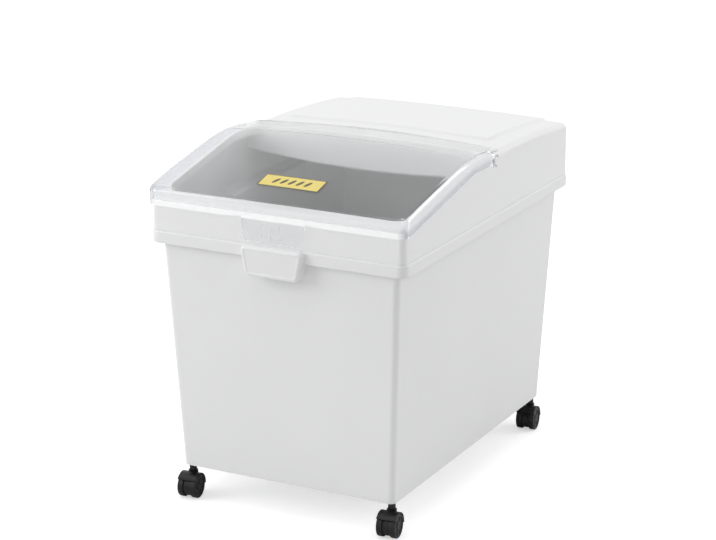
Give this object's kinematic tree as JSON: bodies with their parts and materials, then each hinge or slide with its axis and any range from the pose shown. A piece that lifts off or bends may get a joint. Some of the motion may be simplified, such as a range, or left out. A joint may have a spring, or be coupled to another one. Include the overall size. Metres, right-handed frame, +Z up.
{
  "type": "rice bin with flip lid",
  "caption": "Tapered storage bin on small twin-wheel casters, with a lift-off cover, a clear lid that flips up along its middle, and a pull grip at the front.",
  "frame": {"origin": "on the floor under the middle of the bin", "axes": "+Z up, the grip and the lid's finger tab face -Y, +X is on the right as seen from the front"},
  "size_m": [0.3726, 0.532, 0.476],
  "materials": {
    "tub_white": "smooth satin white",
    "cover_white": "smooth satin white",
    "lid_clear": "clear glossy plastic",
    "pin_white": "smooth white",
    "sleeve_black": "matte black",
    "caster_black": "satin black",
    "wheel_black": "satin black",
    "stem_steel": "bright zinc"
  },
  "bodies": {
    "tub": {"bin_tub": "tub_white", "stem_sleeve_front_left": "sleeve_black", "caster_stem_front_left": "stem_steel", "stem_sleeve_front_right": "sleeve_black", "caster_stem_front_right": "stem_steel", "stem_sleeve_rear_left": "sleeve_black", "caster_stem_rear_left": "stem_steel", "stem_sleeve_rear_right": "sleeve_black", "caster_stem_rear_right": "stem_steel"},
    "cover": {"top_cover": "cover_white", "hinge_pin_left": "pin_white", "hinge_pin_right": "pin_white"},
    "lid": {"flip_lid": "lid_clear"},
    "caster_front_left": {"caster_body_front_left": "caster_black", "caster_axle_front_left": "stem_steel"},
    "outer_wheel_front_left": {"outer_wheel_front_left": "wheel_black"},
    "inner_wheel_front_left": {"inner_wheel_front_left": "wheel_black"},
    "caster_front_right": {"caster_body_front_right": "caster_black", "caster_axle_front_right": "stem_steel"},
    "outer_wheel_front_right": {"outer_wheel_front_right": "wheel_black"},
    "inner_wheel_front_right": {"inner_wheel_front_right": "wheel_black"},
    "caster_rear_left": {"caster_body_rear_left": "caster_black", "caster_axle_rear_left": "stem_steel"},
    "outer_wheel_rear_left": {"outer_wheel_rear_left": "wheel_black"},
    "inner_wheel_rear_left": {"inner_wheel_rear_left": "wheel_black"},
    "caster_rear_right": {"caster_body_rear_right": "caster_black", "caster_axle_rear_right": "stem_steel"},
    "outer_wheel_rear_right": {"outer_wheel_rear_right": "wheel_black"},
    "inner_wheel_rear_right": {"inner_wheel_rear_right": "wheel_black"}
  },
  "joints": [
    {"name": "cover_lift", "type": "slide", "parent": "tub", "child": "cover", "axis": [0, 0, 1], "range_m": [0, 0.12]},
    {"name": "lid_flip", "type": "hinge", "parent": "cover", "child": "lid", "pos_m": [0, 0.011, 0.45], "axis": [-1, 0, 0], "range_deg": [0, 95]},
    {"name": "caster_swivel_front_left", "type": "hinge", "parent": "tub", "child": "caster_front_left", "pos_m": [-0.149, -0.218, 0], "axis": [0, 0, 1], "continuous": true},
    {"name": "outer_wheel_spin_front_left", "type": "hinge", "parent": "caster_front_left", "child": "outer_wheel_front_left", "pos_m": [-0.1483, -0.22597, 0.016], "axis": [0.9962, 0.0872, 0], "continuous": true},
    {"name": "inner_wheel_spin_front_left", "type": "hinge", "parent": "caster_front_left", "child": "inner_wheel_front_left", "pos_m": [-0.1483, -0.22597, 0.016], "axis": [0.9962, 0.0872, 0], "continuous": true},
    {"name": "caster_swivel_front_right", "type": "hinge", "parent": "tub", "child": "caster_front_right", "pos_m": [0.149, -0.218, 0], "axis": [0, 0, 1], "continuous": true},
    {"name": "outer_wheel_spin_front_right", "type": "hinge", "parent": "caster_front_right", "child": "outer_wheel_front_right", "pos_m": [0.1497, -0.22597, 0.016], "axis": [0.9962, 0.0872, 0], "continuous": true},
    {"name": "inner_wheel_spin_front_right", "type": "hinge", "parent": "caster_front_right", "child": "inner_wheel_front_right", "pos_m": [0.1497, -0.22597, 0.016], "axis": [0.9962, 0.0872, 0], "continuous": true},
    {"name": "caster_swivel_rear_left", "type": "hinge", "parent": "tub", "child": "caster_rear_left", "pos_m": [-0.149, 0.228, 0], "axis": [0, 0, 1], "continuous": true},
    {"name": "outer_wheel_spin_rear_left", "type": "hinge", "parent": "caster_rear_left", "child": "outer_wheel_rear_left", "pos_m": [-0.1483, 0.22003, 0.016], "axis": [0.9962, 0.0872, 0], "continuous": true},
    {"name": "inner_wheel_spin_rear_left", "type": "hinge", "parent": "caster_rear_left", "child": "inner_wheel_rear_left", "pos_m": [-0.1483, 0.22003, 0.016], "axis": [0.9962, 0.0872, 0], "continuous": true},
    {"name": "caster_swivel_rear_right", "type": "hinge", "parent": "tub", "child": "caster_rear_right", "pos_m": [0.149, 0.228, 0], "axis": [0, 0, 1], "continuous": true},
    {"name": "outer_wheel_spin_rear_right", "type": "hinge", "parent": "caster_rear_right", "child": "outer_wheel_rear_right", "pos_m": [0.1497, 0.22003, 0.016], "axis": [0.9962, 0.0872, 0], "continuous": true},
    {"name": "inner_wheel_spin_rear_right", "type": "hinge", "parent": "caster_rear_right", "child": "inner_wheel_rear_right", "pos_m": [0.1497, 0.22003, 0.016], "axis": [0.9962, 0.0872, 0], "continuous": true}
  ]
}
